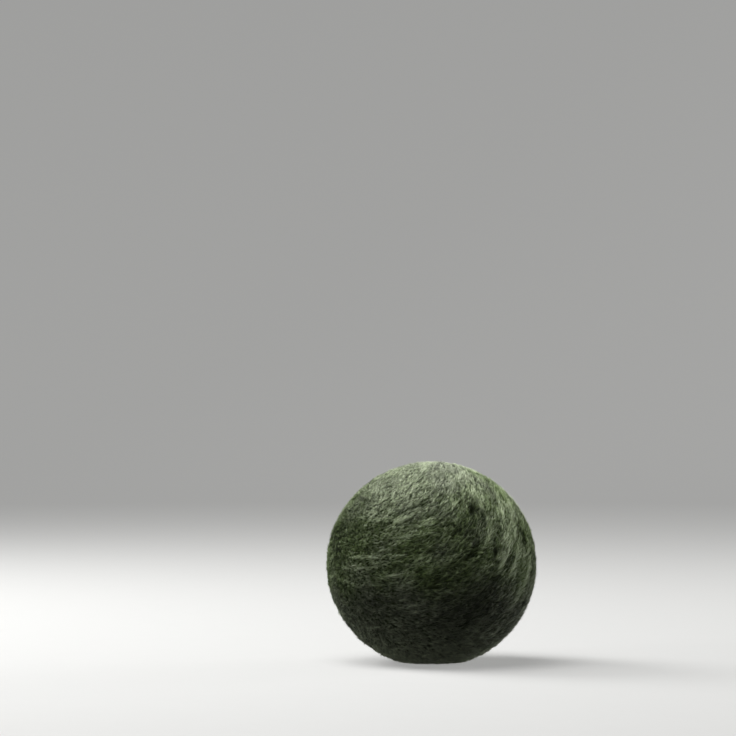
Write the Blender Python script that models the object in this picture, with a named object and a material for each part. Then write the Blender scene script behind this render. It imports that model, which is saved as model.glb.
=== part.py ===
"""Marimo moss ball, one closed solid at its real size, in metres with +Z up.

The ball is a little flatter than it is wide. Its pile lies combed round it, in low locks that
overlap and taper to their tips, with a few gaps where the locks part. A small flat spot below is
what it rests on. The origin is the middle of that spot, and the front faces -Y.
"""
import math

import bmesh
import bpy
import numpy as np
from mathutils import noise

# Driving dimensions
BALL_WIDTH = 0.047
BALL_HEIGHT = 0.045
REST_SPOT_WIDTH = 0.014
LOCK_COUNT = 80
LOCK_LENGTH = 0.017
LOCK_WIDTH = 0.0066
LOCK_RELIEF = 0.0004
LOCK_TWIST = math.radians(7)
LOCK_SCATTER = 0.06
LOCK_SIZES = (0.75, 1.2)
LOCK_HEIGHTS = (0.6, 1.0)
STREAK_RELIEF = 0.0003
STREAK_WIDTH = 0.0028
STREAK_LENGTH = 0.012

# A lock's outline and rise, in halves of its length: how much it narrows towards the tip, how long
# it takes to rise from the root, and how short the step down at its tip is
LOCK_TAPER = 0.35
LOCK_RISE = 1.5
LOCK_TIP = 0.4

# How finely the ball is divided: an icosahedron whose edges are cut this many times
EDGE_CUTS = 20
STREAK_STEPS = 6
SHARP_EDGE = math.radians(60)

# What the pile looks like: linear colour of the grey olive fibres, and how matt they are
PILE_COLOUR = (0.135, 0.152, 0.090, 1.0)
PILE_ROUGHNESS = 0.95

# Combing strokes: azimuth and elevation on the ball, and heading, in degrees. Azimuth 0 is the
# front and grows towards +X. Heading 0 runs level towards growing azimuth, and 90 runs straight up.
FRONT_STROKES = (
    (-50, 12, -3), (-46, -2, 2), (-30, 20, 2), (-15, 34, 6), (-5, 20, 21), (-25, 60, 3),
    (-4, 48, 28), (19, 48, 78), (40, 42, 86), (30, 22, 57), (55, 25, 78), (10, 5, 26),
    (38, 2, 40), (62, 2, 78), (-30, -10, 8), (0, -18, 14), (35, -28, 76), (50, -12, 55),
    (-52, -28, 12), (-20, -45, 15), (12, -42, 16), (36, -48, 60), (28, 68, 60), (62, 63, 70),
)
BACK_STROKES = (
    (90, 20, 85), (90, -30, 70), (100, 55, 75), (135, 30, 50), (135, -15, 65), (175, 35, 20),
    (175, -5, 25), (170, -45, 30), (-145, 30, -20), (-140, -20, 0), (-105, 30, -15),
    (-100, -10, -6), (-100, -45, -15),
)
# How quickly one stroke gives way to the next: higher is sharper
STROKE_SHARPNESS = 20.0

# Gaps between locks: azimuth and elevation in degrees, then length and depth in metres
GAPS = (
    (28, 35, 0.0048, 0.0014), (38, 32, 0.0030, 0.0006), (64, 15, 0.0050, 0.0011),
    (21, 6, 0.0042, 0.0006), (46, 3, 0.0045, 0.0008), (53, -17, 0.0068, 0.0010),
    (67, -22, 0.0056, 0.0009), (118, 8, 0.0055, 0.0012), (150, 42, 0.0045, 0.0011),
    (-165, -18, 0.0055, 0.0012), (-120, 12, 0.0045, 0.0009), (-70, -38, 0.0050, 0.0009),
)
GAP_SLENDERNESS = 2.2

# How far above the rest spot the locks fade in, as a share of half the height
FOOT_FADE = 0.12

RANDOM_SEED = 11
TINY = 1e-6
GOLDEN_ANGLE = math.pi * (3 - math.sqrt(5))


def place_on_ball(azimuth, elevation):
    """Unit vectors out, level and upwards at places given in radians."""
    flat = np.cos(elevation)
    out = np.stack([np.sin(azimuth) * flat, -np.cos(azimuth) * flat, np.sin(elevation)], -1)
    level = np.stack([np.cos(azimuth), np.sin(azimuth), 0 * azimuth], -1)
    return out, level, np.cross(out, level)


def combing(places):
    """Unit direction in which the pile lies at each unit vector in places."""
    azimuth, elevation, heading = np.radians(np.array(FRONT_STROKES + BACK_STROKES, float)).T
    out, level, upwards = place_on_ball(azimuth, elevation)
    strokes = np.cos(heading)[:, None] * level + np.sin(heading)[:, None] * upwards
    weights = np.exp(STROKE_SHARPNESS * (places @ out.T - 1))
    lie = weights @ strokes
    lie -= (lie * places).sum(1, keepdims=True) * places
    return lie / np.linalg.norm(lie, axis=1, keepdims=True)


def spread_places(count):
    """Evenly spread unit vectors, on a spiral from bottom to top."""
    turn = np.arange(count)
    height = (2 * turn + 1) / count - 1
    ring = np.sqrt(1 - height**2)
    return np.stack([ring * np.cos(turn * GOLDEN_ANGLE), ring * np.sin(turn * GOLDEN_ANGLE), height], -1)


def smooth_step(x):
    """0 below 0, 1 above 1, and a smooth rise between."""
    x = np.clip(x, 0, 1)
    return x * x * (3 - 2 * x)


def along_and_across(places, centre, lie):
    """Distances in metres from a centre, along the way the pile lies there and across it."""
    along = np.where(places @ centre > 0, places @ lie * BALL_WIDTH / 2, np.inf)
    across = places @ np.cross(centre, lie) * BALL_WIDTH / 2
    return along, across


def lock_relief(places):
    """Height of the tallest lock at each place, from 0 at its root to 1 near its tip."""
    random = np.random.default_rng(RANDOM_SEED)
    centres = spread_places(LOCK_COUNT) + random.normal(0, LOCK_SCATTER, (LOCK_COUNT, 3))
    centres /= np.linalg.norm(centres, axis=1, keepdims=True)
    lies = combing(centres)
    twists = random.normal(0, LOCK_TWIST, LOCK_COUNT)
    sizes = random.uniform(*LOCK_SIZES, LOCK_COUNT)
    heights = random.uniform(*LOCK_HEIGHTS, LOCK_COUNT)
    relief = np.zeros(len(places))
    for centre, lie, twist, size, height in zip(centres, lies, twists, sizes, heights):
        turned = math.cos(twist) * lie + math.sin(twist) * np.cross(centre, lie)
        along, across = along_and_across(places, centre, turned)
        run = np.clip(along / (LOCK_LENGTH * size / 2), -1, 1)
        taper = np.sqrt(1 - run**2) * (1 - LOCK_TAPER * run)
        side = across / np.maximum(LOCK_WIDTH * size / 2 * taper, TINY)
        rise = smooth_step((run + 1) / LOCK_RISE) * smooth_step((1 - run) / LOCK_TIP)
        relief = np.maximum(relief, height * rise * np.sqrt(np.clip(1 - side**2, 0, 1)))
    return relief


def streak_relief(places):
    """Fine ridges that run with the pile: noise averaged along it, from about 0 to 1."""
    step = STREAK_LENGTH / (2 * STREAK_STEPS) / (BALL_WIDTH / 2)
    scale = BALL_WIDTH / 2 / STREAK_WIDTH
    total = np.array([noise.noise(place * scale) for place in places])
    for way in (1, -1):
        moved = places.copy()
        for _ in range(STREAK_STEPS):
            moved += way * step * combing(moved)
            moved /= np.linalg.norm(moved, axis=1, keepdims=True)
            total += np.array([noise.noise(place * scale) for place in moved])
    return np.clip(0.5 + total / (4 * total.std()), 0, 1)


def gap_depth(places):
    """How deep the gaps between the locks go at each place, in metres."""
    depth = np.zeros(len(places))
    for azimuth, elevation, length, deepest in GAPS:
        centre = place_on_ball(math.radians(azimuth), math.radians(elevation))[0]
        along, across = along_and_across(places, centre, combing(centre[None])[0])
        reach = (along / (length / 2)) ** 2 + (across * GAP_SLENDERNESS / (length / 2)) ** 2
        depth = np.maximum(depth, deepest * np.exp(-reach))
    return depth


def ball_radii():
    """Half the width, half the full height and the height of the cut below the middle."""
    wide = BALL_WIDTH / 2
    cut_share = math.sqrt(1 - (REST_SPOT_WIDTH / BALL_WIDTH) ** 2)
    high = BALL_HEIGHT / (1 + cut_share)
    return wide, high, high * cut_share


def build_ball():
    """Mesh of the ball with its locks and gaps, cut flat at the rest spot."""
    mesh_maker = bmesh.new()
    bmesh.ops.create_icosphere(mesh_maker, subdivisions=1, radius=1)
    bmesh.ops.subdivide_edges(mesh_maker, edges=mesh_maker.edges, cuts=EDGE_CUTS, use_grid_fill=True)
    places = np.array([vert.co for vert in mesh_maker.verts])
    places /= np.linalg.norm(places, axis=1, keepdims=True)
    wide, high, cut = ball_radii()
    depth = LOCK_RELIEF * (1 - lock_relief(places)) + STREAK_RELIEF * (1 - streak_relief(places))
    smooth_foot = smooth_step((places[:, 2] + cut / high) / FOOT_FADE)
    depth = smooth_foot * depth + (1 - smooth_foot) * (LOCK_RELIEF + STREAK_RELIEF) / 2
    depth += gap_depth(places)
    surface = places * (np.array([wide, wide, high]) - depth[:, None])
    for vert, point in zip(mesh_maker.verts, surface):
        vert.co = point
    whole = mesh_maker.verts[:] + mesh_maker.edges[:] + mesh_maker.faces[:]
    bmesh.ops.bisect_plane(
        mesh_maker, geom=whole, plane_co=(0, 0, -cut), plane_no=(0, 0, -1), clear_outer=True, dist=TINY
    )
    rim = [edge for edge in mesh_maker.edges if edge.is_boundary]
    bmesh.ops.contextual_create(mesh_maker, geom=rim)
    bmesh.ops.recalc_face_normals(mesh_maker, faces=mesh_maker.faces)
    corners = np.array([vert.co for vert in mesh_maker.verts])
    low, top = corners.min(0), corners.max(0)
    foot = np.array([(low[0] + top[0]) / 2, (low[1] + top[1]) / 2, low[2]])
    stretch = np.array([BALL_WIDTH, BALL_WIDTH, BALL_HEIGHT]) / (top - low)
    for vert, corner in zip(mesh_maker.verts, corners):
        vert.co = (corner - foot) * stretch
    for face in mesh_maker.faces:
        face.smooth = True
    mesh = bpy.data.meshes.new("moss_ball")
    mesh_maker.to_mesh(mesh)
    mesh_maker.free()
    mesh.set_sharp_from_angle(angle=SHARP_EDGE)
    return mesh


def pile_material():
    """Matt grey olive, as the combed pile is."""
    material = bpy.data.materials.new("moss_pile")
    material.use_nodes = True
    shader = material.node_tree.nodes["Principled BSDF"]
    shader.inputs["Base Color"].default_value = PILE_COLOUR
    shader.inputs["Roughness"].default_value = PILE_ROUGHNESS
    shader.inputs["Metallic"].default_value = 0.0
    return material


def clear_scene():
    """Remove every object that the scene starts with."""
    for thing in list(bpy.data.objects):
        bpy.data.objects.remove(thing, do_unlink=True)


def main():
    clear_scene()
    mesh = build_ball()
    mesh.materials.append(pile_material())
    bpy.context.scene.collection.objects.link(bpy.data.objects.new("moss_ball", mesh))


main()
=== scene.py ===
"""Looks of a marimo moss ball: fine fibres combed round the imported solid, on a pale studio sweep."""

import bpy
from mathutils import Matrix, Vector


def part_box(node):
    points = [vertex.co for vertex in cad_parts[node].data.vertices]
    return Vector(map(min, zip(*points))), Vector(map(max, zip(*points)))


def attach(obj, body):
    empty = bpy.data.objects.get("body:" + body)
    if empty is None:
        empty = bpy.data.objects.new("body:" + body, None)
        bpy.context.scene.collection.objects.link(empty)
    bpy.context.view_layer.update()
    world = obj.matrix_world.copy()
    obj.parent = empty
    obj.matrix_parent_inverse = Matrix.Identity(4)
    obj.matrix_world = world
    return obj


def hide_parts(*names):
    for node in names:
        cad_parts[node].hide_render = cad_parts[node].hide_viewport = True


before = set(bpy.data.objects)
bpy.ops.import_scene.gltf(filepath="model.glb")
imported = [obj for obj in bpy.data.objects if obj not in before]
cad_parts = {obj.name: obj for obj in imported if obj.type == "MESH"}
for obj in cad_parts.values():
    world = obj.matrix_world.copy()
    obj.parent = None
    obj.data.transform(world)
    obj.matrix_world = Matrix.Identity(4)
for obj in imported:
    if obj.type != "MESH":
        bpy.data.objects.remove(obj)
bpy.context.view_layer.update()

import math

import bmesh
import bpy
import numpy as np
from bpy.props import FloatProperty, FloatVectorProperty, IntProperty, PointerProperty
from mathutils import Vector, noise
from mathutils.bvhtree import BVHTree

bl_info = {
    "name": "Moss Ball",
    "version": (1, 0, 0),
    "blender": (4, 5, 0),
    "location": "View3D > Sidebar > Moss Ball",
    "description": "Builds the combed pile of a moss ball round its solid, with a studio stage",
    "category": "Add Mesh",
}

# The solid that the pile follows, and the width of the flat spot that it rests on
BALL_LOW, BALL_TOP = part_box("moss_ball")
BALL_WIDTH = BALL_TOP.x - BALL_LOW.x
BALL_RADIUS = BALL_WIDTH / 2
BALL_HEIGHT = BALL_TOP.z - BALL_LOW.z
BALL_MIDDLE = Vector((0, 0, (BALL_LOW.z + BALL_TOP.z) / 2))
REST_SPOT_WIDTH = 0.014

# Combing strokes, as on the solid: azimuth and elevation on the ball, and heading, in degrees.
# Azimuth 0 is the front and grows towards +X. Heading 0 runs level that way, and 90 straight up.
FRONT_STROKES = (
    (-50, 12, -3), (-46, -2, 2), (-30, 20, 2), (-15, 34, 6), (-5, 20, 21), (-25, 60, 3),
    (-4, 48, 28), (19, 48, 78), (40, 42, 86), (30, 22, 57), (55, 25, 78), (10, 5, 26),
    (38, 2, 40), (62, 2, 78), (-30, -10, 8), (0, -18, 14), (35, -28, 76), (50, -12, 55),
    (-52, -28, 12), (-20, -45, 15), (12, -42, 16), (36, -48, 60), (28, 68, 60), (62, 63, 70),
)
BACK_STROKES = (
    (90, 20, 85), (90, -30, 70), (100, 55, 75), (135, 30, 50), (135, -15, 65), (175, 35, 20),
    (175, -5, 25), (170, -45, 30), (-145, 30, -20), (-140, -20, 0), (-105, 30, -15),
    (-100, -10, -6), (-100, -45, -15),
)
# How quickly one stroke gives way to the next: higher is sharper
STROKE_SHARPNESS = 20.0

# Pale locks in front, then round the sides and back: azimuth and elevation in degrees, then length
# and width in metres
FRONT_LOCKS = (
    (36, 44, 0.0012, 0.0010), (31, 44, 0.0012, 0.0007), (24, 46, 0.0016, 0.0005),
    (58, 42, 0.0028, 0.0008), (45, 5, 0.0070, 0.0005), (54, 14, 0.0030, 0.0005),
    (41, 8, 0.0045, 0.0004), (47, 14, 0.0030, 0.0004), (32, 14, 0.0028, 0.0005),
    (52, 4, 0.0050, 0.0005), (48, -4, 0.0050, 0.0005), (57, 21, 0.0030, 0.0006),
    (38, -2, 0.0036, 0.0005), (61, -12, 0.0050, 0.0006), (66, -6, 0.0034, 0.0005),
    (54, -19, 0.0052, 0.0005), (72, -17, 0.0030, 0.0006), (59, 1, 0.0045, 0.0005),
    (50, 29, 0.0030, 0.0005), (63, 30, 0.0034, 0.0006), (39, -41, 0.0025, 0.0005),
    (50, -42, 0.0028, 0.0005), (-47, -36, 0.0032, 0.0005), (-50, -1, 0.0090, 0.0005),
    (-27, -5, 0.0053, 0.0005), (-41, 5, 0.0070, 0.0004), (-22, 6, 0.0018, 0.0004),
    (-36, -10, 0.0015, 0.0004), (-59, -9, 0.0025, 0.0005), (-17, -22, 0.0032, 0.0004),
    (-13, -25, 0.0030, 0.0004), (-19, -18, 0.0026, 0.0004), (-10, 23, 0.0020, 0.0003),
    (-15, 18, 0.0024, 0.0003), (-6, 18, 0.0020, 0.0003), (-12, 12, 0.0024, 0.0003),
    (-22, 26, 0.0020, 0.0003), (-1, 27, 0.0020, 0.0003), (-28, 16, 0.0020, 0.0003),
)
BACK_LOCKS = (
    (95, 35, 0.0070, 0.0004), (112, 12, 0.0080, 0.0003), (104, -22, 0.0060, 0.0003),
    (128, 44, 0.0060, 0.0004), (146, 8, 0.0090, 0.0003), (158, -20, 0.0060, 0.0003),
    (172, 30, 0.0080, 0.0003), (-172, 2, 0.0070, 0.0003), (-158, 48, 0.0060, 0.0004),
    (-146, -14, 0.0060, 0.0003), (-132, 24, 0.0080, 0.0003), (-115, -2, 0.0070, 0.0003),
    (-100, 40, 0.0060, 0.0004), (-88, 8, 0.0060, 0.0003), (-84, -28, 0.0060, 0.0003),
)

# Spots on the pile: azimuth, elevation and heading in degrees, then length and width in metres. The
# last ones of each list are round the sides and back. At a gap the pile parts, and the fibres in it
# get painted shade.
GAPS = (
    (27, 34, 80, 0.0042, 0.0024), (26, 31, 75, 0.0024, 0.0016), (39, 32, 70, 0.0014, 0.0009),
    (62, 18, 78, 0.0036, 0.0011), (65, 14, 82, 0.0034, 0.0013), (21, 6, 45, 0.0040, 0.0016),
    (48, 6, 56, 0.0044, 0.0006), (46, -1, 55, 0.0040, 0.0006), (36, 7, 45, 0.0040, 0.0010),
    (53, -17, 72, 0.0060, 0.0011), (67, -22, 72, 0.0046, 0.0011), (46, 27, 75, 0.0028, 0.0010),
    (13, 32, 60, 0.0010, 0.0007),
    (118, 8, 65, 0.0056, 0.0016), (150, 42, 45, 0.0050, 0.0015), (-165, -18, 15, 0.0060, 0.0016),
    (-120, 12, -15, 0.0050, 0.0014), (-70, -38, -8, 0.0056, 0.0014),
)
# Where the tufts are lighter, darker or greener
LIGHT_PATCHES = (
    (-32, 22, 10, 0.026, 0.009), (-38, 29, 20, 0.014, 0.009), (-48, 20, 0, 0.016, 0.009),
    (37, 40, 80, 0.008, 0.003), (-13, 20, 30, 0.016, 0.007), (-52, 2, 0, 0.012, 0.004),
    (-28, -5, 5, 0.008, 0.005), (-24, 41, 15, 0.010, 0.004), (-21, 23, 25, 0.006, 0.003),
    # (-12, 56) and (-14, 60) are a painted highlight high on the left
    (24, -2, 40, 0.005, 0.003), (14, 39, 70, 0.010, 0.007), (-12, 56, 25, 0.020, 0.010),
    (-14, 60, 25, 0.014, 0.006), (-8, 4, 30, 0.010, 0.003), (46, 12, 62, 0.010, 0.005),
    (53, 4, 72, 0.018, 0.010), (-15, -7, 8, 0.016, 0.006), (56, -8, 70, 0.016, 0.009),
    (54, 28, 75, 0.012, 0.005),
    (110, -10, 65, 0.012, 0.006), (155, 22, 35, 0.012, 0.006), (-155, 18, 0, 0.014, 0.007),
    (-100, 35, -15, 0.012, 0.006),
)
DARK_PATCHES = (
    (6, 12, 30, 0.012, 0.005), (-6, 11, 10, 0.006, 0.002), (15, 16, 10, 0.006, 0.003),
    (-20, 33, 20, 0.006, 0.003), (3, 28, 70, 0.006, 0.003), (2, -2, 20, 0.006, 0.003),
    # The next three are painted shade high on the right
    (46, 61, 85, 0.016, 0.010), (24, 60, 85, 0.015, 0.010), (50, 74, 60, 0.020, 0.016),
    # (60, -42) is painted shade low on the right
    (60, -42, 70, 0.014, 0.010), (18, 20, 45, 0.013, 0.008), (26, 19, 50, 0.010, 0.006),
    (24, -22, 15, 0.020, 0.010), (-25, -18, 0, 0.013, 0.007), (-35, 10, 10, 0.009, 0.004),
    (13, 28, 65, 0.006, 0.003),
    (95, 10, 80, 0.012, 0.005), (140, -30, 60, 0.014, 0.007), (180, 0, 25, 0.012, 0.006),
    (-125, -5, -5, 0.013, 0.006), (-80, 15, -5, 0.010, 0.005),
)
GREEN_SIDES = (
    (72, 25, 80, 0.040, 0.016), (10, 5, 40, 0.020, 0.012),
    (140, -10, 60, 0.030, 0.016), (-150, 40, 0, 0.026, 0.014), (-110, -30, 0, 0.028, 0.014),
)
# Where the tufts lie more in line than elsewhere, and how much less they turn off the combing there
CALM_PLACES = ((-48, 2, 0, 0.036, 0.020), (-22, -32, 12, 0.020, 0.014))
CALM_SHARE = 0.8
# How far the edges of the spots wander, as a share of the ball's radius, the size of the wander in
# metres, and shifts that set its three directions apart
EDGE_WANDER = 0.10
EDGE_SIZE = 0.0025
EDGE_SHIFTS = (3.0, 17.0, 29.0)
# How far the pile sinks in the middle of a gap, and how steep the gap's edge is
GAP_SINK = 0.0010
GAP_SHARPNESS = 2

# Tufts: a tuft is a few fibres that lie together and close to a point. Its length is the reach
# times one of the sizes, and long ones turn less off the combing. Its path is looked up just short
# of its end at most. PLACE_SCATTER is how far it moves from its even place, as a share of the ball's
# radius over the square root of the number of tufts.
TUFT_REACH = 0.0017
TUFT_SIZES = (0.7, 1.9)
LONG_TUFTS_STRAY_LESS = 0.7
TUFT_PATH_STEPS = 4
PATH_END = 0.9999
PLACE_SCATTER = 0.6
GOLDEN_HALF_TURNS = 3 - math.sqrt(5)
# How far tufts turn off the combing, each on its own and together with their neighbours
TUFT_WANDER = math.radians(32)
TUFT_DRIFT = math.radians(28)
DRIFT_SIZE = 0.0030
# Across a tuft: fibres lie up to TUFT_EDGE half widths from its middle line, closer at the tip,
# and are highest along that line. CROWN_REACH is the square of where the crown ends.
TUFT_HALF_WIDTH = 0.00011
TUFT_EDGE = 2.5
TUFT_TIP_SHARE = 0.25
TUFT_CROWN = 0.00010
CROWN_REACH = 3
# Heights of the tufts: how far the pile fills the solid's relief, how high tufts lie against that
# surface, and how much their tips stand up
RELIEF_FILL = 0.85
TUFT_LEVELS = (-0.00020, 0.0)
TUFT_LIFT = 0.00012

# Streaks of lighter and darker tufts, coarse to fine: their width and length in metres and a shift
# that sets them apart, and how strong each is
GRAIN = ((0.0055, 0.0075, 0.0), (0.0020, 0.0040, 1.0), (0.0009, 0.0020, 2.0))
GRAIN_SHADES = (0.055, 0.075, 0.05)
STREAK_STEPS = 3
# The finest streaks are also higher and lower than the rest, up to this many times their relief
GRAIN_RELIEF = 0.00007
GRAIN_LIMIT = 2

# Shade, from 0, dark, to 1, pale. Most tufts are a little darker than the base and a few are much
# paler, and tufts differ more higher up. A lower lean makes that more lopsided.
BASE_SHADE = 0.243
SHADE_SPREAD = 0.10
SPREAD_RISE = 0.8
SHADE_LEAN = 1.6
FIBRE_SHADE_SPREAD = 0.035
# Some tufts are paler and lie higher
PALE_SHARE = 0.12
PALE_SHADE = 0.25
PALE_LIFT = 0.00012
# Shade that the patches add or take away, what the back loses as painted shade, and what the inside
# of a gap loses as painted shade
LIGHT_PATCH_SHADE = 0.23
DARK_PATCH_SHADE = 0.25
BACK_PAINTED_SHADE = 0.06
GAP_PAINTED_SHADE = 1.0
# A painted highlight and painted reflection haze: high on the left the pile is painted paler and
# greyer. Its middle, in degrees, and the cosine of how far round it reaches
PAINTED_HIGHLIGHT_MIDDLE = (-40, 68)
PAINTED_HIGHLIGHT_REACH = 0.6
PAINTED_HIGHLIGHT_SHADE = 0.42
PAINTED_HIGHLIGHT_GREY = 0.6
# Low down the pile is painted paler, as painted bounce light and reflection haze, from this share of
# the radius under the middle, and greyer, from the middle down and as soon as the slope gives. The
# back has less of both.
LOW_PAINTED_BOUNCE = 0.32
LOW_PAINTED_BOUNCE_START = 0.5
LOW_GREY = 1.0
LOW_GREY_SLOPE = 1.5
BACK_LESS_PAINTED_BOUNCE_AND_GREY = 0.55

# Green, from 0, grey, to 1, green, which changes over the ball and from tuft to tuft
BASE_GREEN = 0.57
GREEN_MOTTLE = 0.4
GREEN_SIZE = 0.006
GREEN_SHIFT = 7.0
GREEN_SPREAD = 0.12
FIBRE_GREEN_SPREAD = 0.08
GREEN_SIDE = 0.1

# From shade and green to colour: the darkest lightness, what the palest adds, and the part of it
# that a root has and that a tip adds; the darker root is painted shade deep in the pile. Paler fibres
# are less green, and roots are more.
DARKEST = 0.26
DARK_TO_PALE = 2.2
ROOT_LIGHTNESS = 0.74
TIP_LIGHTNESS = 0.36
GREENEST = 1.6
GREY_TO_PALE = 1.5
ROOT_GREEN = 0.3
# How matt a fibre's root is, and how much less its tip is
ROOT_ROUGHNESS = 0.72
TIP_SMOOTHER = 0.2
FIBRE_FINISH = {"Specular IOR Level": 0.2, "Sheen Weight": 0.08, "Sheen Roughness": 0.4}

# Fibres: each is closed, pointed at both ends and widest at its waist. It starts below the pile's
# surface, comes up to it in a curve, bends sideways by metres and slants by a share of its length.
ROOT_DEPTH = 0.0007
ROOT_SCATTER = 0.0003
ROOT_CURVE = 1.6
LENGTH_RANGE = (0.7, 1.3)
WIDTH_RANGE = (0.65, 1.35)
FIBRE_FLATNESS = 0.7
FIBRE_BEND = 0.00022
FIBRE_SLANT = 0.22
WAIST_SIDES = 3
WAIST = 0.55
POINTS_PER_FIBRE = WAIST_SIDES + 2
ALONG_FIBRE = np.array([0.0] + WAIST_SIDES * [WAIST] + [1.0])
ROUND_FIBRE = np.array([0.5] + [corner / (WAIST_SIDES - 1) for corner in range(WAIST_SIDES)] + [0.5])
# Fibres stay this far above what the ball rests on, and some of them up to the scatter further
FLOOR_GAP = 0.00008
FLOOR_SCATTER = 0.00025
# Pieces that the combed pile is divided into, going round the ball
SECTORS = 5

# Pale locks: how many fibres to a square metre, how far they scatter sideways in lock widths, and
# how much they rise. Shades are a mean and a spread, and are added to those of the pile.
LOCK_REACH = 0.0030
LOCK_WANDER = math.radians(6)
LOCK_DENSITY = 24e6
LOCK_SCATTER = 0.5
LOCK_RISES = (0.00010, 0.00036)
LOCK_SHADES = (0.29, 0.14)
# Stray fibres: thinner, and only partly as light or dark as the pile
STRAY_REACH = 0.0038
STRAY_WANDER = math.radians(30)
STRAY_WIDTH_SHARE = 0.75
STRAY_RISES = (0.00006, 0.00026)
STRAY_SHADES = (0.25, 0.15)
STRAY_PILE_SHARE = 0.5

# Shades of the fibres are held in steps, so that fibres of one step can share their place on a map
SHADE_STEPS = 32
GREEN_STEPS = 16
CELL_MARGIN = 0.12

# The matted ground: how deep it lies, how often its sphere is divided, how rough it is, its
# mottling and grain, and its two colours as shares of the green, both dark as painted shade deep in
# the pile
GROUND_DEPTH = 0.0010
GROUND_DETAIL = 6
GROUND_ROUGH_SIZE = 0.0016
GROUND_ROUGH_HEIGHT = 0.00018
GROUND_MOTTLE = {"Scale": 420.0, "Detail": 6.0}
GROUND_GRAIN = {"Scale": 2600.0, "Detail": 4.0}
GROUND_BUMP = {"Strength": 0.6, "Distance": 0.0002}
GROUND_DARK = 0.16
GROUND_LIGHT = 0.34
GROUND_ROUGHNESS = 0.8
GROUND_GRAIN_ROUGHNESS = 0.15
GROUND_FINISH = {"Specular IOR Level": 0.3}

# The camera stands level in front, and the ball sits right of and below the middle of its picture
CAMERA_DISTANCE = 0.75
CAMERA_CLIP = (0.01, 10)
PICTURE_WIDTH = 0.1656
PICTURE_PIXELS = 736
BALL_PIXEL = (431.5, 562.0)
SENSOR_WIDTH = 36.0
# The floor: its flat part's radius, the radius of its bend and the height of its wall
SWEEP_FLAT = 0.9
SWEEP_BEND = 0.35
SWEEP_WALL = 1.1
SWEEP_BEND_STEPS = 12
SWEEP_SEGMENTS = 96
JOIN_DISTANCE = 0.0001
PAPER_GRAIN = {"Scale": 300.0, "Detail": 3.0}
PAPER_DARK = 0.97
PAPER_FINISH = {"Roughness": 0.9, "Specular IOR Level": 0.1}
# Soft lights round the ball: how far off, then azimuth and elevation in degrees, and width
LIGHT_DISTANCE = 0.55
LIGHT_PLACES = {
    "key": (-105, 64, 0.40),
    "top": (-50, 75, 0.40),
    "left": (-120, 34, 0.30),
    "right": (118, 10, 0.20),
    "front": (-70, 14, 0.20),
    "camera": (0, 2, 0.20),
}

RANDOM_SEED = 23


def place_on_ball(azimuth, elevation):
    """Unit vectors out, level and upwards at places given in radians."""
    flat = np.cos(elevation)
    out = np.stack([np.sin(azimuth) * flat, -np.cos(azimuth) * flat, np.sin(elevation)], -1)
    level = np.stack([np.cos(azimuth), np.sin(azimuth), 0 * azimuth], -1)
    return out, level, np.cross(out, level)


def unit(vectors):
    """The same vectors, each one long."""
    return vectors / np.linalg.norm(vectors, axis=-1, keepdims=True)


def smooth_step(x):
    """0 below 0, 1 above 1, and a smooth rise between."""
    x = np.clip(x, 0, 1)
    return x * x * (3 - 2 * x)


def noise_at(places, size):
    """Smooth noise from about -1 to 1, whose patches are about size metres across."""
    scale = BALL_RADIUS / size
    return np.array([noise.noise(Vector(place) * scale) for place in places])


def lopsided(random, count):
    """Random draws with a mean of 0, most of them a little lower and a few much higher."""
    return random.gamma(SHADE_LEAN, 1, count) / SHADE_LEAN - 1


def combing(places):
    """Unit direction in which the pile lies at each unit vector in places."""
    azimuth, elevation, heading = np.radians(np.array(FRONT_STROKES + BACK_STROKES, float)).T
    out, level, upwards = place_on_ball(azimuth, elevation)
    strokes = np.cos(heading)[:, None] * level + np.sin(heading)[:, None] * upwards
    lie = np.exp(STROKE_SHARPNESS * (places @ out.T - 1)) @ strokes
    return unit(lie - (lie * places).sum(-1, keepdims=True) * places)


def combed_noise(places, size, length, shift):
    """Noise drawn out along the combing into streaks of the size and length given, as wide as 1."""
    step = length / (2 * STREAK_STEPS) / BALL_RADIUS
    total = noise_at(places + shift, size)
    for way in (1, -1):
        moved = places
        for _ in range(STREAK_STEPS):
            moved = unit(moved + way * step * combing(moved))
            total = total + noise_at(moved + shift, size)
    return total / total.std()


def inside_spots(places, spots, sharpness=1):
    """How far each unit vector in places is inside the long spots given, from 0 to 1."""
    share = np.zeros(len(places))
    wander = np.stack([noise_at(places + shift, EDGE_SIZE) for shift in EDGE_SHIFTS], -1)
    places = unit(places + EDGE_WANDER * wander)
    for azimuth, elevation, heading, length, width in spots:
        out, level, upwards = place_on_ball(*np.radians((azimuth, elevation)))
        lie = math.cos(math.radians(heading)) * level + math.sin(math.radians(heading)) * upwards
        along = places @ lie * BALL_RADIUS / (length / 2)
        across = places @ np.cross(out, lie) * BALL_RADIUS / (width / 2)
        share = np.maximum(share, np.exp(-((along**2 + across**2) ** sharpness)) * (places @ out > 0))
    return share


def solid_radii(places):
    """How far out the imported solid's surface is at each unit vector in places."""
    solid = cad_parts["moss_ball"].data
    tree = BVHTree.FromPolygons(
        [vert.co for vert in solid.vertices], [face.vertices for face in solid.polygons]
    )
    return np.array([tree.ray_cast(BALL_MIDDLE, Vector(place))[3] for place in places])


def round_radii(places):
    """How far out an even ball, of the solid's size and rest spot, is at each unit vector."""
    cut_share = math.sqrt(1 - (REST_SPOT_WIDTH / BALL_WIDTH) ** 2)
    high = BALL_HEIGHT / (1 + cut_share)
    centre = (high * cut_share - BALL_MIDDLE.z) / high
    flat = (places[..., :2] ** 2).sum(-1) / BALL_RADIUS**2
    a = flat + (places[..., 2] / high) ** 2
    b = places[..., 2] / high * centre
    return (b + np.sqrt(b**2 - a * (centre**2 - 1))) / a


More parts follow.
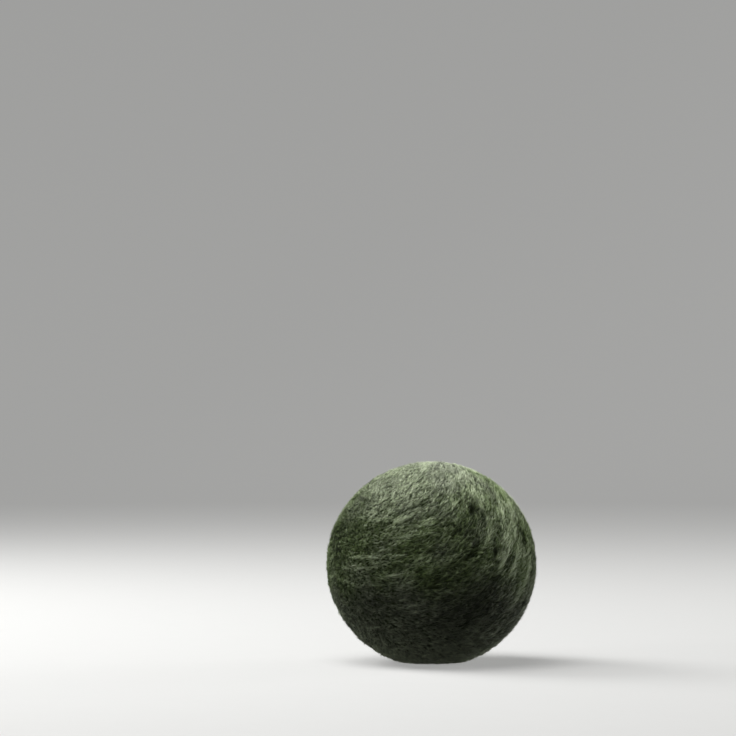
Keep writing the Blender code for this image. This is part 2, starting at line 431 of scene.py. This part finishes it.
def spread_places(count, random):
    """Unit vectors spread evenly over the ball on a spiral, each moved a little at random."""
    turn = np.arange(count)
    height = (2 * turn + 1) / count - 1
    ring = np.sqrt(1 - height**2)
    angle = turn * math.pi * GOLDEN_HALF_TURNS
    places = np.stack([ring * np.cos(angle), ring * np.sin(angle), height], -1)
    return unit(places + random.normal(0, PLACE_SCATTER / math.sqrt(count), (count, 3)))


def lock_places(random):
    """Where the fibres of the pale locks start, as unit vectors."""
    places = []
    for azimuth, elevation, length, width in FRONT_LOCKS + BACK_LOCKS:
        centre = place_on_ball(*np.radians((azimuth, elevation)))[0]
        lie = combing(centre)
        count = int(LOCK_DENSITY * length * width)
        along = random.uniform(-0.5, 0.5, count) * length - LOCK_REACH / 2
        across = random.normal(0, LOCK_SCATTER, count) * width
        moved = along[:, None] * lie + across[:, None] * np.cross(centre, lie)
        places.append(unit(centre + moved / BALL_RADIUS))
    return np.concatenate(places)


class Tufts:
    """Paths along the combing that fibres follow, with each tuft's own height, shade and green."""

    def __init__(self, start, reach, wander, random):
        self.count = len(start)
        self.lay_paths(start, reach, wander, random)
        self.set_heights(random)
        self.set_colours(random)

    def lay_paths(self, start, reach, wander, random):
        """How far each tuft reaches, and the places that its path goes through."""
        long = random.uniform(0, 1, self.count) ** 2
        self.reach = reach * (TUFT_SIZES[0] + (TUFT_SIZES[1] - TUFT_SIZES[0]) * long)
        turn = TUFT_DRIFT * noise_at(start, DRIFT_SIZE) + random.normal(0, wander, self.count)
        turn *= 1 - CALM_SHARE * inside_spots(start, CALM_PLACES)
        turn = ((1 - LONG_TUFTS_STRAY_LESS * long) * turn)[:, None]
        step = self.reach[:, None] / TUFT_PATH_STEPS / BALL_RADIUS
        path = [start]
        for _ in range(TUFT_PATH_STEPS):
            lie = combing(path[-1])
            lie = np.cos(turn) * lie + np.sin(turn) * np.cross(path[-1], lie)
            path.append(unit(path[-1] + step * lie))
        self.path = np.stack(path, 1)
        self.middle = self.path[:, TUFT_PATH_STEPS // 2]
        self.grain = [combed_noise(self.middle, *streak) for streak in GRAIN]

    def set_heights(self, random):
        """The pile's surface along each path, and the tuft's level and lift against it."""
        places = self.path.reshape(-1, 3)
        solid = solid_radii(places).reshape(self.count, -1)
        self.gaps = inside_spots(places, GAPS, GAP_SHARPNESS).reshape(self.count, -1)
        fill = RELIEF_FILL * (1 - self.gaps)
        self.surface = solid + fill * (round_radii(self.path) - solid) - GAP_SINK * self.gaps
        self.level = random.uniform(*TUFT_LEVELS, self.count)
        self.level += GRAIN_RELIEF * np.clip(self.grain[-1], -GRAIN_LIMIT, GRAIN_LIMIT)
        self.lift = np.abs(random.normal(0, TUFT_LIFT, self.count))

    def set_colours(self, random):
        """Each tuft's shade and green, from 0 to 1."""
        behind, up = self.middle[:, 1], self.middle[:, 2]
        front = 1 - BACK_LESS_PAINTED_BOUNCE_AND_GREY * smooth_step(behind)
        highlight_middle = place_on_ball(*np.radians(PAINTED_HIGHLIGHT_MIDDLE))[0]
        # pale: how far each tuft is in the painted highlight and reflection haze
        pale = smooth_step((self.middle @ highlight_middle - PAINTED_HIGHLIGHT_REACH) / (1 - PAINTED_HIGHLIGHT_REACH))
        shade = SHADE_SPREAD * lopsided(random, self.count)
        shade += (np.array(GRAIN_SHADES)[:, None] * self.grain).sum(0)
        shade = BASE_SHADE + shade * (1 + SPREAD_RISE * up)
        # painted bounce light and reflection haze low down in front
        shade += LOW_PAINTED_BOUNCE * front * smooth_step((-up - LOW_PAINTED_BOUNCE_START) / (1 - LOW_PAINTED_BOUNCE_START))
        shade += LIGHT_PATCH_SHADE * inside_spots(self.middle, LIGHT_PATCHES)
        shade -= DARK_PATCH_SHADE * inside_spots(self.middle, DARK_PATCHES)
        paler = random.uniform(0, 1, self.count) < PALE_SHARE
        shade += PALE_SHADE * paler
        self.level += PALE_LIFT * paler
        shade += PAINTED_HIGHLIGHT_SHADE * pale
        # painted shade on the back
        shade -= BACK_PAINTED_SHADE * smooth_step(behind)
        self.shade = np.clip(shade, 0, 1)
        green = BASE_GREEN + GREEN_MOTTLE * noise_at(self.middle + GREEN_SHIFT, GREEN_SIZE)
        green += random.normal(0, GREEN_SPREAD, self.count) - PAINTED_HIGHLIGHT_GREY * pale
        green -= LOW_GREY * front * smooth_step(-LOW_GREY_SLOPE * up)
        self.green = np.clip(green + GREEN_SIDE * inside_spots(self.middle, GREEN_SIDES), 0, 1)

    def at(self, which, run):
        """Places on the chosen tufts' paths at shares of their length, the way they run there, how
        far out the pile's surface is, and how far inside a gap they are."""
        along = np.clip(run, 0, PATH_END) * TUFT_PATH_STEPS
        low = along.astype(int)
        part = along - low

        def between(values, part):
            return values[which, low] * (1 - part) + values[which, low + 1] * part

        out = unit(between(self.path, part[:, None]))
        way = unit(self.path[which, low + 1] - self.path[which, low])
        return out, way, between(self.surface, part), between(self.gaps, part)


def fibre_points(tufts, which, length, width, random, rise=0.0):
    """Points of closed fibres, one for each chosen tuft in which, as count x points x 3, and how
    light each stays under the painted shade of gaps: 1 in the open, and less inside a gap."""
    count = len(which)
    reach = tufts.reach[which]
    length = np.minimum(length * random.uniform(*LENGTH_RANGE, count) * reach / reach.mean(), reach)
    start = random.uniform(0, 1, count) * (reach - length)
    offset = TUFT_HALF_WIDTH * np.clip(random.normal(0, 1, count), -TUFT_EDGE, TUFT_EDGE)
    width = width * random.uniform(*WIDTH_RANGE, count)
    roll = random.uniform(0, 2 * math.pi / WAIST_SIDES, count)
    lowest = FLOOR_GAP + random.uniform(0, FLOOR_SCATTER, count)
    crown = TUFT_CROWN * (1 - (offset / TUFT_HALF_WIDTH) ** 2 / CROWN_REACH)
    bend = random.normal(0, FIBRE_BEND, count)
    slant = random.normal(0, FIBRE_SLANT, count) * length
    depth = ROOT_DEPTH + random.uniform(0, ROOT_SCATTER, count)
    lift = rise + tufts.lift[which]
    points = np.empty((count, POINTS_PER_FIBRE, 3))
    gap_painted_lightness = np.ones(count)
    for run in (0.0, WAIST, 1.0):
        distance = (start + length * run) / reach
        out, way, radius, gap = tufts.at(which, distance)
        side = np.cross(way, out)
        across = offset * (1 - (1 - TUFT_TIP_SHARE) * distance) + bend * run**2
        across += slant * (run - WAIST)
        height = radius + tufts.level[which] + crown * run - depth * (1 - run) ** ROOT_CURVE
        height += lift * run**2
        centre = np.array(BALL_MIDDLE) + out * height[:, None] + side * across[:, None]
        if run > 0:
            # fibres whose waist or tip lies in a gap get painted shade
            gap_painted_lightness = np.minimum(gap_painted_lightness, 1 - GAP_PAINTED_SHADE * gap)
        for point in np.flatnonzero(ALONG_FIBRE == run):
            points[:, point] = centre
            if run == WAIST:
                angle = roll + 2 * math.pi * (point - 1) / WAIST_SIDES
                points[:, point] += (np.cos(angle) * width / 2)[:, None] * side
                points[:, point] += (np.sin(angle) * width / 2 * FIBRE_FLATNESS)[:, None] * out
    points[:, :, 2] = np.maximum(points[:, :, 2], lowest[:, None])
    return points, gap_painted_lightness


def fibre_faces():
    """Corners of one fibre's triangles: a fan to its root and one to its tip."""
    root, tip = 0, WAIST_SIDES + 1
    faces = []
    for corner in range(WAIST_SIDES):
        a, b = 1 + corner, 1 + (corner + 1) % WAIST_SIDES
        faces += [(a, b, root), (b, a, tip)]
    return np.array(faces)


def step_of(values, steps):
    """Which of the even steps from 0 to 1 each value is in."""
    return np.clip((values * steps).astype(int), 0, steps - 1)


def fibre_mesh(name, points, shade, green):
    """One mesh of all the fibres given, with their shades as attributes and a map to bake to."""
    count = len(points)
    faces = (np.arange(count)[:, None, None] * POINTS_PER_FIBRE + fibre_faces()).reshape(-1, 3)
    mesh = bpy.data.meshes.new(name)
    mesh.vertices.add(count * POINTS_PER_FIBRE)
    mesh.vertices.foreach_set("co", points.astype(np.float32).ravel())
    mesh.loops.add(faces.size)
    mesh.loops.foreach_set("vertex_index", faces.astype(np.int32).ravel())
    mesh.polygons.add(len(faces))
    mesh.polygons.foreach_set("loop_start", np.arange(0, faces.size, 3, dtype=np.int32))
    mesh.update(calc_edges=True)
    mesh.shade_smooth()
    shade_step = step_of(shade, SHADE_STEPS)
    green_step = step_of(green, GREEN_STEPS)
    held = {
        "along": np.tile(ALONG_FIBRE, count),
        "shade": np.repeat((shade_step + 0.5) / SHADE_STEPS, POINTS_PER_FIBRE),
        "green": np.repeat((green_step + 0.5) / GREEN_STEPS, POINTS_PER_FIBRE),
    }
    for kind, values in held.items():
        mesh.attributes.new(kind, "FLOAT", "POINT").data.foreach_set("value", values.astype(np.float32))
    inner = 1 - 2 * CELL_MARGIN
    across = (shade_step[:, None] + CELL_MARGIN + inner * ROUND_FIBRE) / SHADE_STEPS
    up = (green_step[:, None] + CELL_MARGIN + inner * ALONG_FIBRE) / GREEN_STEPS
    spots = np.stack([across, up], -1).reshape(-1, 2)
    layer = mesh.uv_layers.new(name="OFBake")
    layer.data.foreach_set("uv", spots[faces.ravel()].astype(np.float32).ravel())
    return mesh


class Wire:
    """A socket in a material's nodes. Sums, differences and products of wires add Math nodes."""

    def __init__(self, tree, socket=None):
        self.tree = tree
        self.socket = socket

    def node(self, kind, settings=None, inputs=None, output=0):
        """Add a node, set it up, fill or link its sockets, and return one of its outputs."""
        made = self.tree.nodes.new(kind)
        for name, value in (settings or {}).items():
            setattr(made, name, value)
        fill_sockets(made, inputs or {})
        return Wire(self.tree, made.outputs[output])

    def math(self, operation, first, second):
        return self.node("ShaderNodeMath", {"operation": operation}, {0: first, 1: second})

    def mix(self, factor, first, second, blend="MIX"):
        """Mix of two colours, whose sockets on the node are 6 and 7 in and 2 out."""
        settings = {"data_type": "RGBA", "blend_type": blend}
        return self.node("ShaderNodeMix", settings, {0: factor, 6: first, 7: second}, output=2)

    def __add__(self, other):
        return self.math("ADD", self, other)

    def __radd__(self, other):
        return self.math("ADD", other, self)

    def __sub__(self, other):
        return self.math("SUBTRACT", self, other)

    def __rsub__(self, other):
        return self.math("SUBTRACT", other, self)

    def __mul__(self, other):
        return self.math("MULTIPLY", self, other)

    def __rmul__(self, other):
        return self.math("MULTIPLY", other, self)


def fill_sockets(node, values):
    """Link a node's sockets to the wires given, and set the others to the values given."""
    for name, value in values.items():
        if isinstance(value, Wire):
            value.tree.links.new(value.socket, node.inputs[name])
        else:
            node.inputs[name].default_value = value


def new_material(name):
    """A material, its Principled shader, and the wire to build its other nodes from."""
    material = bpy.data.materials.new(name)
    material.use_nodes = True
    tree = material.node_tree
    return material, tree.nodes["Principled BSDF"], Wire(tree)


def shaded(colour, share=1.0):
    """A colour setting times a share, as a node's colour."""
    return (*(share * part for part in colour), 1)


def fibre_material(settings):
    """Matt fibres: dark at the root as painted shade deep in the pile, lighter and greyer to the tip,
    each a little different.
    """
    if "moss_fibre" in bpy.data.materials:
        return bpy.data.materials["moss_fibre"]
    material, shader, wire = new_material("moss_fibre")
    along, shade, green = (
        wire.node("ShaderNodeAttribute", {"attribute_name": kind}, output="Fac")
        for kind in ("along", "shade", "green")
    )
    green = green * (GREENEST - GREY_TO_PALE * shade) + ROOT_GREEN * (1 - along)
    hue = wire.mix(green, shaded(settings.grey_colour), shaded(settings.green_colour))
    # the darker root is painted shade deep in the pile
    lightness = (ROOT_LIGHTNESS + TIP_LIGHTNESS * along) * (DARKEST + DARK_TO_PALE * shade)
    tint = wire.node("ShaderNodeCombineColor", {}, dict.fromkeys(("Red", "Green", "Blue"), lightness))
    fill_sockets(shader, FIBRE_FINISH)
    fill_sockets(shader, {
        "Base Color": wire.mix(1.0, hue, tint, "MULTIPLY"),
        "Roughness": ROOT_ROUGHNESS - TIP_SMOOTHER * along,
    })
    return material


def ground_material(settings):
    """The matted ground under the fibres: dark as painted shade deep in the pile, mottled and streaky."""
    material, shader, wire = new_material("moss_ground")
    place = wire.node("ShaderNodeTexCoord", output="Object")
    mottle = wire.node("ShaderNodeTexNoise", {}, {"Vector": place, **GROUND_MOTTLE})
    fine = wire.node("ShaderNodeTexNoise", {}, {"Vector": place, **GROUND_GRAIN})
    green = settings.green_colour
    fill_sockets(shader, GROUND_FINISH)
    fill_sockets(shader, {
        # dark colours: painted shade deep in the pile
        "Base Color": wire.mix(mottle, shaded(green, GROUND_DARK), shaded(green, GROUND_LIGHT)),
        "Roughness": GROUND_ROUGHNESS + GROUND_GRAIN_ROUGHNESS * fine,
        "Normal": wire.node("ShaderNodeBump", {}, {"Height": fine, **GROUND_BUMP}),
    })
    return material


def paper_material(settings):
    """Matt pale paper with a faint grain, which glows a little so that it stays pale."""
    material, shader, wire = new_material("studio_paper")
    grain = wire.node("ShaderNodeTexNoise", {}, PAPER_GRAIN)
    floor = settings.floor_colour
    fill_sockets(shader, PAPER_FINISH)
    fill_sockets(shader, {
        "Base Color": wire.mix(grain, shaded(floor, PAPER_DARK), shaded(floor)),
        "Emission Color": shaded(floor),
        "Emission Strength": settings.paper_glow,
    })
    return material


def add_piece(mesh, material):
    """Put a piece of the object in the scene, riding on its body in place of the solid."""
    mesh.materials.append(material)
    piece = bpy.data.objects.new(mesh.name, mesh)
    bpy.context.scene.collection.objects.link(piece)
    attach(piece, "root")
    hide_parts("moss_ball")


def add_loose_fibres(name, tufts, length, width, rises, shades, pile_share, random):
    """Build a piece of fibres that rise out of the combed pile, one on each tuft given."""
    which = np.arange(tufts.count)
    rise = random.uniform(*rises, tufts.count)
    points, gap_painted_lightness = fibre_points(tufts, which, length, width, random, rise)
    shade = gap_painted_lightness * (pile_share * tufts.shade + random.normal(*shades, tufts.count))
    mesh = fibre_mesh(name, points, shade, tufts.green)
    add_piece(mesh, fibre_material(bpy.context.scene.moss_pile))


def length_setting(name, description, default, least=0.0005):
    return FloatProperty(name=name, description=description, default=default, min=least, unit="LENGTH")


def count_setting(name, description, default, most):
    return IntProperty(name=name, description=description, default=default, min=10, max=most)


def power_setting(name, description, default):
    return FloatProperty(name=name, description=description, default=default, min=0, unit="POWER")


def colour_setting(name, description, default):
    return FloatVectorProperty(
        name=name, description=description, default=default, min=0, max=1, size=3, subtype="COLOR"
    )


class PileSettings(bpy.types.PropertyGroup):
    """Sizes and colours of the pile. The most fibres keep each piece under 200,000 triangles."""

    fibre_length: length_setting("Fibre length", "Mean length of a fibre", 0.0013)
    fibre_width: length_setting("Fibre width", "Mean width of a fibre", 0.00013, 0.00002)
    lock_length: length_setting("Lock length", "Mean length of a fibre in a pale lock", 0.0030)
    stray_length: length_setting("Stray length", "Mean length of a stray fibre", 0.0026)
    tuft_count: count_setting("Tufts", "Number of tufts that the fibres gather in", 40000, 80000)
    fibre_count: count_setting("Fibres", "Number of combed fibres", 140000, 160000)
    stray_count: count_setting("Stray fibres", "Number of fibres that stand away", 14000, 30000)
    grey_colour: colour_setting("Grey fibres", "Colour of the greyer fibres", (0.316, 0.347, 0.254))
    green_colour: colour_setting("Green fibres", "Colour of the greener fibres", (0.172, 0.247, 0.080))


class StageSettings(bpy.types.PropertyGroup):
    """The floor and the lights."""

    floor_colour: colour_setting("Floor", "Colour of the floor and its sweep", (0.38, 0.38, 0.373))
    paper_glow: FloatProperty(
        name="Paper glow", description="Even light of the paper, which keeps it pale", default=0.82, min=0
    )
    room_light: FloatProperty(
        name="Room light", description="Strength of the even light all round", default=0.03, min=0
    )
    key_power: power_setting("Key light", "Power of the main light, high on the left", 1.55)
    top_power: power_setting("Top light", "Power of the light above, a little in front", 1.6)
    left_power: power_setting("Left light", "Power of the light behind on the left", 2.7)
    right_power: power_setting("Right light", "Power of the light behind on the right", 0.9)
    front_power: power_setting("Front light", "Power of the low light in front on the left", 0.66)
    camera_power: power_setting("Camera light", "Power of the light round the camera", 0.264)


class MOSS_OT_ground(bpy.types.Operator):
    """Build the matted ground that the fibres stand in"""

    bl_idname = "moss.build_ground"
    bl_label = "Build Ground"

    def execute(self, context):
        maker = bmesh.new()
        bmesh.ops.create_icosphere(maker, subdivisions=GROUND_DETAIL, radius=1)
        places = unit(np.array([vert.co for vert in maker.verts]))
        rough = noise_at(places, GROUND_ROUGH_SIZE) * GROUND_ROUGH_HEIGHT
        radii = solid_radii(places) - GROUND_DEPTH + rough
        points = np.array(BALL_MIDDLE) + places * radii[:, None]
        points[:, 2] = np.maximum(points[:, 2], FLOOR_SCATTER + FLOOR_GAP)
        for vert, point in zip(maker.verts, points):
            vert.co = point
        mesh = bpy.data.meshes.new("pile_ground")
        maker.to_mesh(mesh)
        maker.free()
        mesh.shade_smooth()
        add_piece(mesh, ground_material(context.scene.moss_pile))
        return {"FINISHED"}


class MOSS_OT_pile(bpy.types.Operator):
    """Build the combed fibres, in sectors that go round the ball"""

    bl_idname = "moss.build_pile"
    bl_label = "Build Combed Pile"

    def execute(self, context):
        settings = context.scene.moss_pile
        random = np.random.default_rng(RANDOM_SEED)
        tufts = Tufts(spread_places(settings.tuft_count, random), TUFT_REACH, TUFT_WANDER, random)
        which = random.integers(0, settings.tuft_count, settings.fibre_count)
        points, gap_painted_lightness = fibre_points(
            tufts, which, settings.fibre_length, settings.fibre_width, random
        )
        shade = gap_painted_lightness * (tufts.shade[which] + FIBRE_SHADE_SPREAD * lopsided(random, len(which)))
        green = tufts.green[which] + random.normal(0, FIBRE_GREEN_SPREAD, len(which))
        azimuth = np.arctan2(points[:, 0, 0], -points[:, 0, 1])
        for number, sector in enumerate(np.array_split(np.argsort(azimuth), SECTORS), 1):
            mesh = fibre_mesh(f"combed_pile_{number}", points[sector], shade[sector], green[sector])
            add_piece(mesh, fibre_material(settings))
        return {"FINISHED"}


class MOSS_OT_locks(bpy.types.Operator):
    """Build the pale locks of longer fibres that lie on the pile"""

    bl_idname = "moss.build_locks"
    bl_label = "Build Pale Locks"

    def execute(self, context):
        settings = context.scene.moss_pile
        random = np.random.default_rng(RANDOM_SEED + 2)
        tufts = Tufts(lock_places(random), LOCK_REACH, LOCK_WANDER, random)
        add_loose_fibres(
            "pale_locks", tufts, settings.lock_length, settings.fibre_width,
            LOCK_RISES, LOCK_SHADES, 1.0, random,
        )
        return {"FINISHED"}


class MOSS_OT_strays(bpy.types.Operator):
    """Build the few fibres that stand away from the combed pile"""

    bl_idname = "moss.build_strays"
    bl_label = "Build Stray Fibres"

    def execute(self, context):
        settings = context.scene.moss_pile
        random = np.random.default_rng(RANDOM_SEED + 1)
        tufts = Tufts(spread_places(settings.stray_count, random), STRAY_REACH, STRAY_WANDER, random)
        add_loose_fibres(
            "stray_fibres", tufts, settings.stray_length, STRAY_WIDTH_SHARE * settings.fibre_width,
            STRAY_RISES, STRAY_SHADES, STRAY_PILE_SHARE, random,
        )
        return {"FINISHED"}


def sweep_mesh():
    """A round floor that curves up into a wall all round, seen from inside."""
    profile = [(0.0, 0.0), (SWEEP_FLAT, 0.0)]
    for step in range(1, SWEEP_BEND_STEPS + 1):
        angle = math.pi / 2 * step / SWEEP_BEND_STEPS
        profile.append((SWEEP_FLAT + SWEEP_BEND * math.sin(angle), SWEEP_BEND * (1 - math.cos(angle))))
    profile.append((SWEEP_FLAT + SWEEP_BEND, SWEEP_WALL))
    maker = bmesh.new()
    verts = [maker.verts.new((x, 0, z)) for x, z in profile]
    edges = [maker.edges.new(pair) for pair in zip(verts, verts[1:])]
    bmesh.ops.spin(
        maker, geom=verts + edges, cent=(0, 0, 0), axis=(0, 0, 1), angle=2 * math.pi,
        steps=SWEEP_SEGMENTS, use_merge=True,
    )
    bmesh.ops.remove_doubles(maker, verts=maker.verts, dist=JOIN_DISTANCE)
    bmesh.ops.recalc_face_normals(maker, faces=maker.faces)
    mesh = bpy.data.meshes.new("studio_sweep")
    maker.to_mesh(mesh)
    maker.free()
    mesh.shade_smooth()
    return mesh


class MOSS_OT_stage(bpy.types.Operator):
    """Set up the floor with its sweep, the soft lights and the camera"""

    bl_idname = "moss.build_stage"
    bl_label = "Build Stage"

    def execute(self, context):
        settings = context.scene.moss_stage
        self.add_sweep(context, settings)
        for name, (azimuth, elevation, width) in LIGHT_PLACES.items():
            power = getattr(settings, f"{name}_power")
            self.add_soft_light(context, f"{name}_light", azimuth, elevation, width, power)
        world = bpy.data.worlds.new("room")
        world.use_nodes = True
        room = {"Color": (1, 1, 1, 1), "Strength": settings.room_light}
        fill_sockets(world.node_tree.nodes["Background"], room)
        context.scene.world = world
        context.scene.view_settings.view_transform = "Standard"
        self.add_camera(context)
        return {"FINISHED"}

    def add_sweep(self, context, settings):
        """The floor with its sweep, which throws no light on the ball."""
        mesh = sweep_mesh()
        mesh.materials.append(paper_material(settings))
        sweep = bpy.data.objects.new("studio_sweep", mesh)
        context.scene.collection.objects.link(sweep)
        sweep.visible_diffuse = False
        sweep.visible_glossy = False

    def add_soft_light(self, context, name, azimuth, elevation, width, power):
        """A round soft light that faces the ball from the angles given, in degrees."""
        way = Vector(place_on_ball(*np.radians((azimuth, elevation)))[0])
        light = bpy.data.lights.new(name, "AREA")
        light.shape = "DISK"
        light.size = width
        light.energy = power
        lamp = bpy.data.objects.new(name, light)
        lamp.location = BALL_MIDDLE + LIGHT_DISTANCE * way
        lamp.rotation_euler = (-way).to_track_quat("-Z", "Y").to_euler()
        lamp.visible_camera = False
        context.scene.collection.objects.link(lamp)

    def add_camera(self, context):
        """A level camera in front, with the ball right of and below the middle of its picture."""
        pixel = PICTURE_WIDTH / PICTURE_PIXELS
        right = (BALL_PIXEL[0] - PICTURE_PIXELS / 2) * pixel
        below = (BALL_PIXEL[1] - PICTURE_PIXELS / 2) * pixel
        lens = bpy.data.cameras.new("camera")
        lens.sensor_width = SENSOR_WIDTH
        lens.lens = SENSOR_WIDTH * CAMERA_DISTANCE / PICTURE_WIDTH
        lens.clip_start, lens.clip_end = CAMERA_CLIP
        camera = bpy.data.objects.new("camera", lens)
        camera.location = (-right, -CAMERA_DISTANCE, BALL_MIDDLE.z + below)
        camera.rotation_euler = (math.pi / 2, 0, 0)
        context.scene.collection.objects.link(camera)
        context.scene.camera = camera


class MOSS_PT_panel(bpy.types.Panel):
    """Everything the moss ball is built with"""

    bl_label = "Moss Ball"
    bl_idname = "MOSS_PT_panel"
    bl_space_type = "VIEW_3D"
    bl_region_type = "UI"
    bl_category = "Moss Ball"

    def draw(self, context):
        for settings, operators in (
            (context.scene.moss_pile, (MOSS_OT_ground, MOSS_OT_pile, MOSS_OT_locks, MOSS_OT_strays)),
            (context.scene.moss_stage, (MOSS_OT_stage,)),
        ):
            column = self.layout.column()
            for name in settings.__annotations__:
                column.prop(settings, name)
            for operator in operators:
                column.operator(operator.bl_idname)


CLASSES = (
    PileSettings, StageSettings, MOSS_OT_ground, MOSS_OT_pile, MOSS_OT_locks, MOSS_OT_strays,
    MOSS_OT_stage, MOSS_PT_panel,
)


def register():
    for kind in CLASSES:
        bpy.utils.register_class(kind)
    bpy.types.Scene.moss_pile = PointerProperty(type=PileSettings)
    bpy.types.Scene.moss_stage = PointerProperty(type=StageSettings)


def unregister():
    del bpy.types.Scene.moss_stage
    del bpy.types.Scene.moss_pile
    for kind in reversed(CLASSES):
        bpy.utils.unregister_class(kind)


def main():
    register()
    bpy.ops.moss.build_ground()
    bpy.ops.moss.build_pile()
    bpy.ops.moss.build_locks()
    bpy.ops.moss.build_strays()
    bpy.ops.moss.build_stage()


if __name__ == "__main__":
    main()
